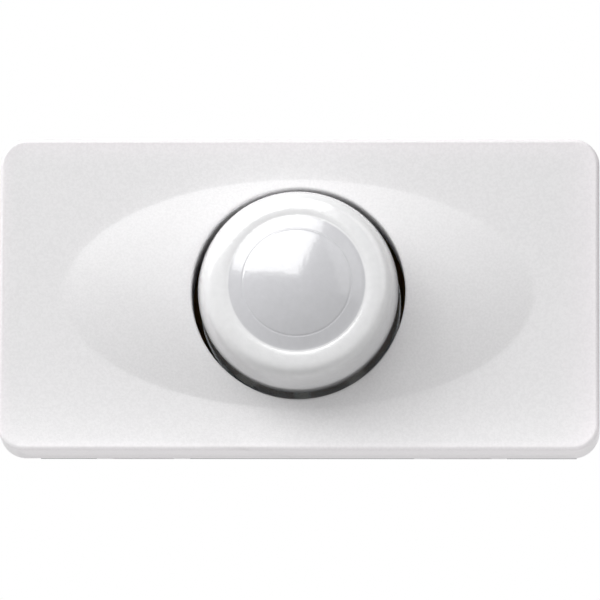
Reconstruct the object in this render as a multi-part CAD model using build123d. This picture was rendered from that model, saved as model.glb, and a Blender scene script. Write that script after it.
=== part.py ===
from build123d import *
from math import asin, cos, radians, sin
import os

# A one-module rotary dimmer that snaps into the support frame of a wall plate.
# X runs along the long side of the face, Z runs up and the face looks along -Y.
# The seating plane, where the cover bears on the support frame, is y = 0, and the
# origin is where the knob's axis crosses it. All sizes are in millimetres.

# Face
face_width = 45.0
face_height = 23.7
face_depth = 4.0
face_corner = 2.0
face_edge_round = 0.35
cover_wall = 1.5
face_wall = 1.8

# Oval swelling of the face round the knob
swell_width = 35.2
swell_height = 17.4
swell_rise = 1.2

# Knob
knob_diameter = 15.0
knob_gap = 0.5
hole_edge_round = 0.15
knob_wall = 1.3
knob_rim_stand = 1.25
knob_skirt_depth = 3.1
shoulder_width = 1.3
shoulder_rise = 3.35
ring_fall_width = 1.0
ring_fall = 0.15
step_width = 1.15
step_rise = 0.3
dome_rise = 0.7
crease_round = 0.2
knob_hub_wall = 1.5
knob_rib = 0.9
knob_ribs = 6

# Collar and posts behind the face
collar_wall = 0.8
collar_length = 1.6
post_radius = 1.3
post_end_gap = 0.9
post_side_gap = 1.0

# Housing
cover_fit = 0.2
housing_wall = 1.4
housing_back = 27.0
housing_corner = 2.0
housing_edge_round = 0.8
rear_wall = 1.6
plate_gap = 0.1
rib_width = 3.4
rib_reach = 1.2

# Tabs that hold the cover on the housing, and the lugs that they snap over
tab_width = 7.0
tab_thickness = 1.0
tab_length = 6.2
tab_from_end = 10.5
tab_gap = 0.1
lug_width = 4.2
lug_rise = 0.8
lug_length = 1.7
lug_front = 2.8
lug_clearance = 0.2

# Spring hooks at both ends, which catch behind the support frame's sheet
frame_sheet = 2.0
hook_play = 0.2
hook_reach = 1.4
hook_width = 6.4
hook_ramp = 4.5
tongue_width = 8.2
slit_width = 0.8
tongue_length = 12.0

# Vents
vent_width = 1.2
vent_length = 9.0
vent_front = 13.0
vent_pitch = 4.0
vents = 5

# Shaft and potentiometer
shaft_radius = 3.0
shaft_flat = 1.5
shaft_running = 0.06
shaft_hub_cover = 1.8
hub_seat_gap = 0.02
bushing_radius = 3.5
bushing_front = -1.8
bushing_flange = 1.0
clip_thickness = 0.4
clip_groove = 0.5
clip_reach = 1.0
clip_gap = 0.1
can_side_gap = 1.2
can_wall = 0.4
can_front = 0.9
can_mouth_radius = 4.2
can_claw_width = 2.2
can_claw_angles = (40, 100, 260, 320)
rotor_thickness = 1.7
rotor_gap = 0.3
stop_reach = 0.6
rotor_stop_angle = 20.0
can_stop_angle = 56.0
wafer_thickness = 1.2
tag_thickness = 0.3
tag_width = 1.4
tag_pitch = 5.0
tag_leg_gap = 0.3
track_thickness = 0.1
track_ring_gap = 0.5
track_edge_gap = 0.1
track_span = 300.0
track_width = 1.6
ring_width = 1.0
wiper_width = 1.4
wiper_sheet = 0.3
contact_gap = 0.05

# Circuit board
board_front = 7.6
board_thickness = 1.6
board_gap = 0.3
lead_radius = 0.3
lead_hole_gap = 0.15
lead_inset = 0.1
lead_stub = 0.8

# Terminals
wire_hole_radius = 2.0
wire_funnel = 0.4
cage_width = 7.4
cage_height = 7.0
cage_length = 6.8
cage_sheet = 1.1
cage_leg_width = 3.0
clamp_thickness = 1.0
clamp_side_gap = 0.2
clamp_end_gap = 0.6
clamp_wall_gap = 0.1
screw_travel = 3.0
screw_radius = 1.5
screw_running = 0.06
screw_head_radius = 2.4
screw_head_height = 1.4
screw_head_sink = 0.1
screw_slot = 0.7
screw_slot_depth = 0.8
screw_neck_radius = 1.0
screw_peen_radius = 1.4
screw_peen_height = 0.3
driver_hole_gap = 0.3

# Heat sink and power parts
sink_sheet = 1.5
sink_end_gap = 0.3
sink_flange_gap = 1.2
sink_front = 10.6
sink_back = 24.4
sink_bend = 0.6
pad_thickness = 0.2
middle_gap = 0.35
triac_length = 11.0
triac_thickness = 2.8
triac_front = 12.0
triac_hole_from_end = 3.8
triac_hole_radius = 1.6
triac_lead_pitch = 2.3
triac_lead_width = 0.8
triac_lead_thickness = 0.5
triac_screw_radius = 1.5
triac_screw_head_radius = 2.75
triac_screw_head_height = 1.9

# Other components on the back of the board
choke_end_gap = 0.45
choke_floor_gap = 0.3
choke_winding_depth = 1.8
choke_flange = 1.4
choke_height = 11.0
winding_clearance = 0.15
film_cap_width = 13.0
film_cap_height = 11.0
film_cap_thickness = 5.0
film_cap_side_gap = 0.2
film_cap_pitch = 10.0
timing_cap_width = 7.2
timing_cap_height = 7.0
timing_cap_thickness = 3.2
timing_cap_end_gap = 2.9
timing_cap_side_gap = 1.7
timing_cap_pitch = 5.0
fuse_radius = 4.1
fuse_height = 8.0
fuse_end_gap = 0.5
fuse_side_gap = 0.4
fuse_pitch = 5.0
resistor_radius = 1.15
resistor_length = 5.8
resistor_waist = 0.85
resistor_pitch = 7.6
resistor_end_gap = 1.1
resistor_side_gap = 0.25
resistor_spacing = 1.5
diac_radius = 0.95
diac_length = 4.0
diac_pitch = 7.0
diac_end_gap = 1.8

# Places that follow from the sizes above
face_y = -face_depth
inside_y = face_y + face_wall
hole_radius = knob_diameter / 2 + knob_gap
housing_width = face_width - 2 * (cover_wall + cover_fit)
housing_height = face_height - 2 * (cover_wall + cover_fit)
cavity_width = housing_width - 2 * housing_wall
cavity_height = housing_height - 2 * housing_wall
cavity_corner = housing_corner - housing_wall
cavity_back = housing_back - rear_wall
cavity_end = cavity_width / 2
cavity_side = cavity_height / 2
post_x = cavity_end - post_end_gap - post_radius
post_z = cavity_side - post_side_gap - post_radius
tab_x = face_width / 2 - tab_from_end
board_back = board_front + board_thickness
board_width = cavity_width - 2 * board_gap
board_height = cavity_height - 2 * board_gap
wafer_front = board_front - wafer_thickness
hook_catch_y = frame_sheet + hook_play
crest_y = face_y - knob_rim_stand - shoulder_rise
crest_radius = knob_diameter / 2 - shoulder_width
valley_radius = crest_radius - ring_fall_width
dome_radius = valley_radius - step_width
knob_back_y = face_y + knob_skirt_depth
clip_front_y = bushing_front - clip_gap - clip_thickness
hub_back_y = clip_front_y - clip_gap
can_radius = cavity_side - can_side_gap
rotor_radius = can_radius - can_wall - stop_reach - rotor_gap
track_outer = rotor_radius - track_edge_gap
track_inner = track_outer - track_width
ring_outer = track_inner - track_ring_gap
ring_inner = ring_outer - ring_width
tag_inner_edge = tag_pitch - tag_width / 2
side_tag_top = -(track_outer ** 2 - tag_inner_edge ** 2) ** 0.5 - track_edge_gap
tag_leg_z = can_radius + tag_leg_gap
flange_front_y = can_front + can_wall
rotor_front_y = flange_front_y + bushing_flange + rotor_gap
rotor_back_y = rotor_front_y + rotor_thickness
shaft_front_y = crest_y + shaft_hub_cover
cage_front = cavity_back - cage_length
cage_outer_x = housing_width / 2 - screw_head_sink - screw_head_height - screw_travel - contact_gap
cage_inner_x = cage_outer_x - cage_width
clamp_outer_x = cage_outer_x - cage_sheet - clamp_wall_gap
clamp_inner_x = clamp_outer_x - clamp_thickness
wire_x = (cage_inner_x + cage_sheet + clamp_inner_x) / 2
screw_y = cage_front + cage_length / 2
sink_half_width = cavity_end - rib_reach - sink_end_gap
sink_flange_top = -screw_head_radius - sink_flange_gap
sink_floor = -cavity_side
sink_top = sink_floor + sink_sheet
triac_width = cage_inner_x - 3 * middle_gap
triac_x = 2 * middle_gap + triac_width / 2
triac_floor = sink_top + pad_thickness
triac_top = triac_floor + triac_thickness
triac_lead_z = triac_floor + triac_thickness / 2
choke_radius = (cage_inner_x - choke_end_gap) / 2
choke_waist_radius = choke_radius - choke_winding_depth
choke_x = -choke_radius
choke_z = sink_top + choke_floor_gap + choke_radius
choke_lead_pitch = 2 * (choke_radius + winding_clearance + lead_radius)
film_cap_z = cavity_side - film_cap_side_gap - film_cap_thickness / 2
timing_cap_x = cavity_end - timing_cap_end_gap - timing_cap_width / 2
timing_cap_z = cavity_side - timing_cap_side_gap - timing_cap_thickness / 2
fuse_x = rib_reach + fuse_end_gap + fuse_radius - cavity_end
fuse_z = cavity_side - fuse_side_gap - fuse_radius
resistor_x = cavity_end - resistor_end_gap - lead_radius - resistor_pitch / 2
snubber_resistor_z = sink_flange_top + resistor_side_gap + resistor_radius
charge_resistor_z = snubber_resistor_z + 2 * resistor_radius + resistor_spacing
diac_x = diac_end_gap + lead_radius + diac_pitch / 2 - cavity_end
diac_z = sink_flange_top + resistor_side_gap + diac_radius
cut_margin = 1.0


def prism(outline, y_front, y_back):
    """An outline drawn as the face shows it, carried from y_front back to y_back."""
    return extrude(Plane.XZ.offset(-y_back) * outline, y_back - y_front)


def rod(radius, y_front, y_back, x=0.0, z=0.0):
    """A round bar along Y."""
    return prism(Pos(x, z) * Circle(radius), y_front, y_back)


def cross_rod(radius, x_low, x_high, y, z):
    """A round bar along X."""
    return extrude(Plane.YZ.offset(x_low) * Pos(y, z) * Circle(radius), x_high - x_low)


def block(x_low, x_high, y_low, y_high, z_low, z_high):
    """A rectangular block between two corners."""
    size = (x_high - x_low, y_high - y_low, z_high - z_low)
    centre = ((x_low + x_high) / 2, (y_low + y_high) / 2, (z_low + z_high) / 2)
    return Pos(*centre) * Box(*size)


def turned(*lines):
    """A closed outline of radius against y, turned about the Y axis."""
    return revolve(make_face(list(lines)), Axis.Y)


def dome_arc(radius, apex_y, edge_y):
    """A shallow circular arc from the axis at apex_y out to the radius at edge_y."""
    rise = edge_y - apex_y
    sphere = (radius ** 2 + rise ** 2) / (2 * rise)
    half_angle = asin(radius / sphere) / 2
    middle = (sphere * sin(half_angle), apex_y + sphere * (1 - cos(half_angle)))
    return ThreePointArc((0, apex_y), middle, (radius, edge_y))


def swelling(width, height, rise, base_y, root_y):
    """A dome turned about Y, stretched sideways into an oval, with a straight root."""
    radius = height / 2
    arc = dome_arc(radius, base_y - rise, base_y)
    sides = Polyline((radius, base_y), (radius, root_y), (0, root_y), (0, base_y - rise))
    return scale(turned(arc, sides), by=(width / height, 1, 1))


def both_ends(piece):
    """A piece and its mirror image at the other end of the module."""
    return piece + mirror(piece, Plane.YZ)


def top_and_bottom(piece):
    """A piece and its mirror image below the module's middle."""
    return piece + mirror(piece, Plane.XY)


def component_lead_places():
    """Where each round lead passes through the board, as x and z."""
    pairs = (
        (0.0, film_cap_z, film_cap_pitch),
        (timing_cap_x, timing_cap_z, timing_cap_pitch),
        (fuse_x, fuse_z, fuse_pitch),
        (resistor_x, charge_resistor_z, resistor_pitch),
        (resistor_x, snubber_resistor_z, resistor_pitch),
        (diac_x, diac_z, diac_pitch),
        (choke_x, choke_z, choke_lead_pitch),
    )
    places = []
    for x, z, pitch in pairs:
        places.append((x - pitch / 2, z))
        places.append((x + pitch / 2, z))
    return places


def make_cover_tabs():
    """Four tabs, each with the window that snaps over a lug of the housing."""
    low = housing_height / 2 + tab_gap
    tab = block(
        tab_x - tab_width / 2, tab_x + tab_width / 2, inside_y, tab_length, low, low + tab_thickness
    )
    window = block(
        tab_x - lug_width / 2 - lug_clearance,
        tab_x + lug_width / 2 + lug_clearance,
        lug_front - lug_clearance,
        lug_front + lug_length + lug_clearance,
        low - cut_margin,
        low + tab_thickness + cut_margin,
    )
    return both_ends(top_and_bottom(tab - window))


def make_front_cover():
    """The visible cap: rounded rectangle, oval swelling, knob hole, collar and posts."""
    shell = prism(RectangleRounded(face_width, face_height, face_corner), face_y, 0)
    shell = fillet(shell.edges().group_by(Axis.Y)[0], face_edge_round)
    shell += swelling(swell_width, swell_height, swell_rise, face_y, inside_y)
    inner_corner = face_corner - cover_wall
    shell -= prism(
        RectangleRounded(face_width - 2 * cover_wall, face_height - 2 * cover_wall, inner_corner),
        inside_y,
        cut_margin,
    )
    shell -= swelling(
        swell_width - 2 * face_wall, swell_height - 2 * face_wall, swell_rise, inside_y, cut_margin
    )
    collar_front = face_y - swell_rise / 2
    shell += rod(hole_radius + collar_wall, collar_front, inside_y + collar_length)
    post = rod(post_radius, inside_y - face_wall / 2, board_front, post_x, post_z)
    shell += both_ends(top_and_bottom(post))
    shell += make_cover_tabs()
    shell -= rod(hole_radius, face_y - 2 * swell_rise, inside_y + collar_length + cut_margin)
    hole_edge = shell.edges().filter_by(lambda edge: is_hole_edge(edge @ 0.25, edge @ 0.75))
    return fillet(hole_edge, hole_edge_round)


def is_hole_edge(*points):
    """Whether these points of an edge lie on the front of the knob's hole."""
    return all(
        abs((point.X ** 2 + point.Z ** 2) ** 0.5 - hole_radius) < 0.01 and point.Y < face_y
        for point in points
    )


def make_housing_lugs():
    """Wedges that the cover's tabs snap over: a ramp at the front, square at the back."""
    root = housing_height / 2 - housing_wall / 2
    top = housing_height / 2 + lug_rise
    back = lug_front + lug_length
    outline = make_face(
        Polyline(
            (lug_front, root), (lug_front, housing_height / 2), (back, top), (back, root), close=True
        )
    )
    wedge = extrude(Plane.YZ.offset(tab_x - lug_width / 2) * outline, lug_width)
    return both_ends(top_and_bottom(wedge))


def make_end_hooks():
    """A barb on each end tongue, square to the support sheet and ramped behind it."""
    root = housing_width / 2 - housing_wall / 2
    tip = housing_width / 2 + hook_reach
    ramp_back = hook_catch_y + hook_ramp
    outline = make_face(
        Polyline(
            (root, hook_catch_y),
            (tip, hook_catch_y),
            (tip, hook_catch_y + hook_play),
            (housing_width / 2, ramp_back),
            (root, ramp_back),
            close=True,
        )
    )
    barb = extrude(Plane.XY.offset(-hook_width / 2) * outline, hook_width)
    return both_ends(barb)


def make_rear_housing():
    """The deep sleeve: board ribs, spring tongues, lugs, vents and driver holes."""
    outer = prism(
        RectangleRounded(housing_width, housing_height, housing_corner), inside_y, housing_back
    )
    outer = fillet(outer.edges().group_by(Axis.Y)[-1], housing_edge_round)
    sleeve = outer - prism(
        RectangleRounded(cavity_width, cavity_height, cavity_corner),
        inside_y - cut_margin,
        housing_back + cut_margin,
    )
    rib = block(
        cavity_end - rib_reach,
        cavity_end + housing_wall / 2,
        board_back,
        cavity_back,
        cavity_side - rib_width,
        cavity_side,
    )
    sleeve += both_ends(top_and_bottom(rib))
    slit = block(
        cavity_end - cut_margin,
        housing_width / 2 + cut_margin,
        inside_y - cut_margin,
        tongue_length,
        tongue_width / 2,
        tongue_width / 2 + slit_width,
    )
    sleeve -= both_ends(top_and_bottom(slit))
    sleeve += make_end_hooks() + make_housing_lugs()
    for number in range(vents):
        x = (number - (vents - 1) / 2) * vent_pitch
        slot = Pos(x, vent_front + vent_length / 2, cavity_side + housing_wall / 2)
        cutter = extrude(slot * SlotOverall(vent_length, vent_width, rotation=90), 2 * housing_wall,
                         both=True)
        sleeve -= top_and_bottom(cutter)
    driver_hole = cross_rod(
        screw_head_radius + driver_hole_gap,
        cavity_end - cut_margin,
        housing_width / 2 + cut_margin,
        screw_y,
        0,
    )
    return sleeve - both_ends(driver_hole)


def make_rear_plate():
    """The plate that closes the sleeve behind the terminals, with the two wire holes."""
    plate = prism(
        RectangleRounded(
            cavity_width - 2 * plate_gap, cavity_height - 2 * plate_gap, cavity_corner - plate_gap
        ),
        cavity_back,
        housing_back,
    )
    wire_hole = rod(wire_hole_radius, cavity_back - cut_margin, housing_back + cut_margin, wire_x)
    funnel_radius = wire_hole_radius + wire_funnel
    funnel = Pos(wire_x, 0, 0) * turned(
        Polyline(
            (0, housing_back - wire_funnel),
            (wire_hole_radius, housing_back - wire_funnel),
            (funnel_radius, housing_back),
            (0, housing_back),
            close=True,
        )
    )
    return plate - both_ends(wire_hole + funnel)


def knob_outline():
    """The knob's outer line: dome, step, shallow valley, rounded shoulder and skirt."""
    radius = knob_diameter / 2
    rim_y = crest_y + shoulder_rise
    valley_y = crest_y + ring_fall
    step_y = valley_y - step_rise
    apex_y = step_y - dome_rise
    return [
        dome_arc(dome_radius, apex_y, step_y),
        Line((dome_radius, step_y), (valley_radius, valley_y)),
        Line((valley_radius, valley_y), (crest_radius, crest_y)),
        EllipticalCenterArc((crest_radius, rim_y), shoulder_width, shoulder_rise, 270, arc_size=90),
        Polyline((radius, rim_y), (radius, knob_back_y), (0, knob_back_y), (0, apex_y)),
    ]


def make_knob():
    """A hollow cap with a hub that fits the shaft's flat, and ribs from hub to skirt."""
    solid = turned(*knob_outline())
    creases = [
        edge
        for edge in solid.edges().filter_by(GeomType.CIRCLE)
        if dome_radius - 0.1 < edge.radius < crest_radius + 0.1
    ]
    solid = fillet(creases, crease_round)
    hub_radius = shaft_radius + knob_hub_wall
    roof_y = crest_y + ring_fall + knob_wall
    hollow_radius = knob_diameter / 2 - knob_wall
    hollow = rod(hollow_radius, roof_y + shoulder_rise / 2, knob_back_y + cut_margin)
    hollow += rod(hollow_radius - shoulder_width / 2, roof_y, roof_y + shoulder_rise)
    rib = block(
        hub_radius - knob_rib,
        knob_diameter / 2 - knob_wall / 2,
        roof_y - knob_wall / 2,
        hub_back_y,
        -knob_rib / 2,
        knob_rib / 2,
    )
    inside = rod(hub_radius, roof_y - knob_wall / 2, hub_back_y)
    for number in range(knob_ribs):
        inside += Rot(0, 360 / knob_ribs * number, 0) * rib
    bore_front = shaft_front_y - hub_seat_gap
    bore = rod(shaft_radius + hub_seat_gap, bore_front, hub_back_y + cut_margin)
    flat = block(
        -knob_diameter,
        knob_diameter,
        bore_front - cut_margin,
        hub_back_y + 2 * cut_margin,
        shaft_flat + hub_seat_gap,
        knob_diameter,
    )
    return (solid - hollow) + inside - (bore - flat)


def make_shaft():
    """A round shaft with a flat for the knob and a groove for its clip."""
    shaft = rod(shaft_radius, shaft_front_y, rotor_back_y)
    shaft -= block(
        -knob_diameter,
        knob_diameter,
        shaft_front_y - cut_margin,
        hub_back_y,
        shaft_flat,
        knob_diameter,
    )
    groove = rod(shaft_radius + cut_margin, clip_front_y, clip_front_y + clip_thickness)
    groove -= rod(shaft_radius - clip_groove, clip_front_y, clip_front_y + clip_thickness)
    return shaft - groove


def make_shaft_clip():
    """The open ring in the shaft's groove, in front of the bushing."""
    back = clip_front_y + clip_thickness
    ring = rod(shaft_radius + clip_reach, clip_front_y, back)
    ring -= rod(shaft_radius - clip_groove, clip_front_y, back)
    mouth = shaft_radius - clip_groove
    return ring - block(
        -mouth, mouth, clip_front_y - cut_margin, back + cut_margin, -2 * shaft_radius, 0
    )


def make_bushing():
    """The die-cast bearing of the shaft with its flange."""
    flange_back = flange_front_y + bushing_flange
    bushing = rod(bushing_radius, bushing_front, flange_back)
    bushing += rod(can_radius - can_wall, flange_front_y, flange_back)
    return bushing - rod(
        shaft_radius + shaft_running, bushing_front - cut_margin, flange_back + cut_margin
    )


def ring_sector(inner, outer, y_front, y_back, middle_angle, span):
    """Part of a flat ring, centred on an angle from the top of the module."""
    start = 90 - middle_angle - span / 2
    start_edge = (inner * cos(radians(start)), inner * sin(radians(start)))
    outer_arc = CenterArc((0, 0), outer, start, span)
    inner_arc = CenterArc((0, 0), inner, start, span)
    first = Line(start_edge, outer_arc @ 0)
    last = Line(inner_arc @ 1, outer_arc @ 1)
    return prism(make_face([outer_arc, inner_arc, first, last]), y_front, y_back)


def make_can():
    """The drawn steel can round the rotor, with its stop, tag window and claws."""
    can = rod(can_radius, can_front, wafer_front)
    can -= rod(can_radius - can_wall, can_front + can_wall, wafer_front + cut_margin)
    can -= rod(can_mouth_radius, can_front - cut_margin, can_front + 2 * can_wall)
    can += ring_sector(
        can_radius - can_wall - stop_reach,
        can_radius - can_wall / 2,
        rotor_front_y,
        rotor_back_y,
        180,
        can_stop_angle,
    )
    window_half = tag_pitch + tag_width
    can -= block(
        -window_half,
        window_half,
        wafer_front - 2 * tag_thickness,
        wafer_front + cut_margin,
        -2 * can_radius,
        -track_inner / 2,
    )
    for turn in can_claw_angles:
        can += Rot(0, turn, 0) * make_claw(0)
    return can


def make_claw(gap):
    """One claw of the can, or with a gap the notch of the wafer that takes it."""
    claw = rod(can_radius, wafer_front, board_front)
    claw -= rod(can_radius - can_wall - gap, wafer_front - cut_margin, board_front + cut_margin)
    half = can_claw_width / 2 + gap
    return claw & block(-half, half, wafer_front, board_front, 0, 2 * can_radius)


def make_rotor():
    """The moulded disc on the shaft, with the lug that meets the can's stop."""
    rotor = rod(rotor_radius, rotor_front_y, rotor_back_y)
    rotor += ring_sector(
        rotor_radius - stop_reach,
        rotor_radius + stop_reach,
        rotor_front_y,
        rotor_back_y,
        0,
        rotor_stop_angle,
    )
    return rotor - rod(
        shaft_radius + hub_seat_gap, rotor_front_y - cut_margin, rotor_back_y + cut_margin
    )


def make_wiper():
    """A bent strip: one arm bears on the carbon track, the other on the centre ring."""
    track_tip = wafer_front - track_thickness - contact_gap
    ring_tip = wafer_front - tag_thickness - contact_gap
    track_mid = (track_inner + track_outer) / 2
    ring_mid = (ring_inner + ring_outer) / 2
    foot = shaft_radius / 2
    toe = wiper_width / 4
    seat = rotor_back_y
    outline = make_face(
        Polyline(
            (seat, -foot),
            (ring_tip - wiper_sheet, -ring_mid + toe),
            (ring_tip - wiper_sheet, -ring_mid - toe),
            (ring_tip, -ring_mid - toe),
            (ring_tip, -ring_mid + toe),
            (seat + wiper_sheet, -foot + toe),
            (seat + wiper_sheet, foot - toe),
            (track_tip, track_mid - toe),
            (track_tip, track_mid + toe),
            (track_tip - wiper_sheet, track_mid + toe),
            (track_tip - wiper_sheet, track_mid - toe),
            (seat, foot),
            close=True,
        )
    )
    return extrude(Plane.YZ.offset(-wiper_width / 2) * outline, wiper_width)


def make_track():
    """The printed carbon track, open below."""
    return ring_sector(
        track_inner, track_outer, wafer_front - track_thickness, wafer_front, 0, track_span
    )


def make_wafer():
    """The laminate disc that carries the track, with notches for the can's claws."""
    wafer = rod(can_radius, wafer_front, board_front)
    for turn in can_claw_angles:
        wafer -= Rot(0, turn, 0) * make_claw(contact_gap)
    return wafer


def make_tag(x, z_high):
    """One solder tag: a strip down the wafer, then a leg back through the board."""
    low = x - tag_width / 2
    high = x + tag_width / 2
    front = wafer_front - tag_thickness
    strip = block(low, high, front, wafer_front, -tag_leg_z - tag_thickness, z_high)
    leg = block(
        low, high, front, board_back + lead_stub, -tag_leg_z - tag_thickness, -tag_leg_z
    )
    return strip + leg


def make_pot_tags():
    """Two end tags and the centre tag with its collector ring."""
    front = wafer_front - tag_thickness
    ring = rod(ring_outer, front, wafer_front) - rod(ring_inner, front, wafer_front)
    centre = make_tag(0, -(ring_inner + ring_outer) / 2) + ring
    side = make_tag(tag_pitch, side_tag_top)
    return Compound([centre.solid(), side.solid(), mirror(side, Plane.YZ).solid()])


def make_board():
    """The circuit board, drilled for leads and slotted for the brass legs and tags."""
    corner = max(cavity_corner - board_gap, 0.2)
    board = prism(RectangleRounded(board_width, board_height, corner), board_front, board_back)
    front = board_front - cut_margin
    back = board_back + cut_margin
    for x, z in component_lead_places():
        board -= rod(lead_radius + lead_hole_gap, front, back, x, z)
    for step in (-1, 0, 1):
        x = triac_x + step * triac_lead_pitch
        board -= rod(triac_lead_width / 2 + lead_hole_gap, front, back, x, triac_lead_z)
    leg_low = cage_inner_x - lead_hole_gap
    leg_high = cage_inner_x + cage_sheet + lead_hole_gap
    half = cage_leg_width / 2 + lead_hole_gap
    board -= both_ends(block(leg_low, leg_high, front, back, -half, half))
    for x in (-tag_pitch, 0, tag_pitch):
        board -= block(
            x - tag_width / 2 - lead_hole_gap,
            x + tag_width / 2 + lead_hole_gap,
            front,
            back,
            -board_height,
            -tag_leg_z + lead_hole_gap,
        )
    return board


def make_cage():
    """The right-hand brass terminal: a folded loop with a tapped side and a board leg."""
    shape = block(
        cage_inner_x, cage_outer_x, cage_front, cavity_back, -cage_height / 2, cage_height / 2
    )
    shape = fillet(shape.edges().filter_by(Axis.Y), cage_sheet / 2)
    shape -= block(
        cage_inner_x + cage_sheet,
        cage_outer_x - cage_sheet,
        cage_front - cut_margin,
        cavity_back + cut_margin,
        -cage_height / 2 + cage_sheet,
        cage_height / 2 - cage_sheet,
    )
    shape += block(
        cage_inner_x,
        cage_inner_x + cage_sheet,
        board_back - board_thickness,
        cage_front + cage_sheet,
        -cage_leg_width / 2,
        cage_leg_width / 2,
    )
    return shape - cross_rod(
        screw_radius + screw_running,
        cage_outer_x - cage_sheet - contact_gap,
        cage_outer_x + cut_margin,
        screw_y,
        0,
    )


def make_clamp():
    """The right-hand pressure plate, bored and recessed for the screw's peened neck."""
    half_height = cage_height / 2 - cage_sheet - clamp_side_gap
    plate = block(
        clamp_inner_x,
        clamp_outer_x,
        cage_front + clamp_end_gap,
        cavity_back - clamp_end_gap,
        -half_height,
        half_height,
    )
    plate = fillet(plate.edges().filter_by(Axis.X), clamp_end_gap)
    plate -= cross_rod(
        screw_neck_radius + screw_running,
        clamp_inner_x - cut_margin,
        clamp_outer_x + cut_margin,
        screw_y,
        0,
    )
    return plate - cross_rod(
        screw_peen_radius + screw_running,
        clamp_inner_x - cut_margin,
        clamp_inner_x + screw_peen_height + contact_gap,
        screw_y,
        0,
    )


def make_screw():
    """The right-hand terminal screw: slotted head, shank, neck and peened end."""
    head_low = cage_outer_x + screw_travel + contact_gap
    head_high = head_low + screw_head_height
    neck_high = clamp_outer_x + contact_gap
    screw = cross_rod(screw_head_radius, head_low, head_high, screw_y, 0)
    screw = fillet(screw.edges().group_by(Axis.X)[-1], screw_head_height / 4)
    screw += cross_rod(screw_radius, neck_high, head_low, screw_y, 0)
    screw += cross_rod(screw_neck_radius, clamp_inner_x, neck_high, screw_y, 0)
    peen_high = clamp_inner_x + screw_peen_height
    screw += cross_rod(screw_peen_radius, clamp_inner_x, peen_high, screw_y, 0)
    return screw - block(
        head_high - screw_slot_depth,
        head_high + cut_margin,
        screw_y - screw_head_radius - cut_margin,
        screw_y + screw_head_radius + cut_margin,
        -screw_slot / 2,
        screw_slot / 2,
    )


def make_heat_sink():
    """Aluminium sheet bent up at both ends, tapped for the power switch's screw."""
    height = 4 * (sink_flange_top - sink_floor)
    outer = Pos(0, sink_floor + height / 2) * RectangleRounded(
        2 * sink_half_width, height, sink_bend + sink_sheet
    )
    inner = Pos(0, sink_top + height / 2) * RectangleRounded(
        2 * (sink_half_width - sink_sheet), height, sink_bend
    )
    sink = prism(outer, sink_front, sink_back)
    sink -= prism(inner, sink_front - cut_margin, sink_back + cut_margin)
    sink -= block(
        -2 * sink_half_width,
        2 * sink_half_width,
        sink_front - cut_margin,
        sink_back + cut_margin,
        sink_flange_top,
        sink_floor + 2 * height,
    )
    return sink - triac_bore(triac_screw_radius + screw_running)


def triac_bore(radius):
    """A round cutter on the fixing screw's axis, through everything it clamps."""
    y = triac_front + triac_length - triac_hole_from_end
    length = triac_top - sink_floor + 2 * cut_margin
    return Pos(triac_x, y, sink_floor - cut_margin + length / 2) * Cylinder(radius, length)


def make_pad():
    """The thin insulating sheet under the power switch."""
    pad = block(
        triac_x - triac_width / 2,
        triac_x + triac_width / 2,
        triac_front,
        triac_front + triac_length,
        sink_top,
        triac_floor,
    )
    return pad - triac_bore(triac_hole_radius)


def make_triac():
    """The moulded body of the power switch, with bevelled long edges and its hole."""
    body = block(
        triac_x - triac_width / 2,
        triac_x + triac_width / 2,
        triac_front,
        triac_front + triac_length,
        triac_floor,
        triac_top,
    )
    body = chamfer(body.edges().group_by(Axis.Z)[-1].filter_by(Axis.Y), triac_thickness / 6)
    return body - triac_bore(triac_hole_radius)


def make_triac_leads():
    """Three flat leads from the power switch through the board."""
    leads = []
    for step in (-1, 0, 1):
        x = triac_x + step * triac_lead_pitch
        lead = block(
            x - triac_lead_width / 2,
            x + triac_lead_width / 2,
            board_front + lead_inset,
            triac_front,
            triac_lead_z - triac_lead_thickness / 2,
            triac_lead_z + triac_lead_thickness / 2,
        )
        leads.append(lead.solid())
    return Compound(leads)


def make_triac_screw():
    """The pan-head screw that presses the power switch on its heat sink."""
    y = triac_front + triac_length - triac_hole_from_end
    shank = triac_top - sink_floor
    screw = Pos(triac_x, y, sink_floor + shank / 2) * Cylinder(triac_screw_radius, shank)
    head_z = triac_top + triac_screw_head_height / 2
    head = Pos(triac_x, y, head_z) * Cylinder(triac_screw_head_radius, triac_screw_head_height)
    head = fillet(head.edges().group_by(Axis.Z)[-1], triac_screw_head_height / 3)
    slot = block(
        triac_x - screw_slot / 2,
        triac_x + screw_slot / 2,
        y - 2 * triac_screw_head_radius,
        y + 2 * triac_screw_head_radius,
        head_z,
        head_z + triac_screw_head_height,
    )
    return screw + head - slot


def make_choke_core():
    """The ferrite drum of the suppression choke."""
    back = board_back + choke_height
    core = rod(choke_waist_radius, board_back, back, choke_x, choke_z)
    core += rod(choke_radius, board_back, board_back + choke_flange, choke_x, choke_z)
    return core + rod(choke_radius, back - choke_flange, back, choke_x, choke_z)


def make_choke_winding():
    """The enamelled wire wound on the drum, as one ring, with its two ends."""
    front = board_back + choke_flange
    back = board_back + choke_height - choke_flange
    outer = choke_radius - winding_clearance
    ring = rod(outer, front, back, choke_x, choke_z)
    end_y = front + lead_radius
    reach = choke_lead_pitch / 2
    ring += cross_rod(lead_radius, choke_x - reach, choke_x + reach, end_y, choke_z)
    for side in (-1, 1):
        x = choke_x + side * reach
        ring += rod(lead_radius, board_front + lead_inset, end_y, x, choke_z)
        ring += Pos(x, end_y, choke_z) * Sphere(lead_radius)
    return ring - rod(choke_waist_radius, front - cut_margin, back + cut_margin, choke_x, choke_z)


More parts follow.
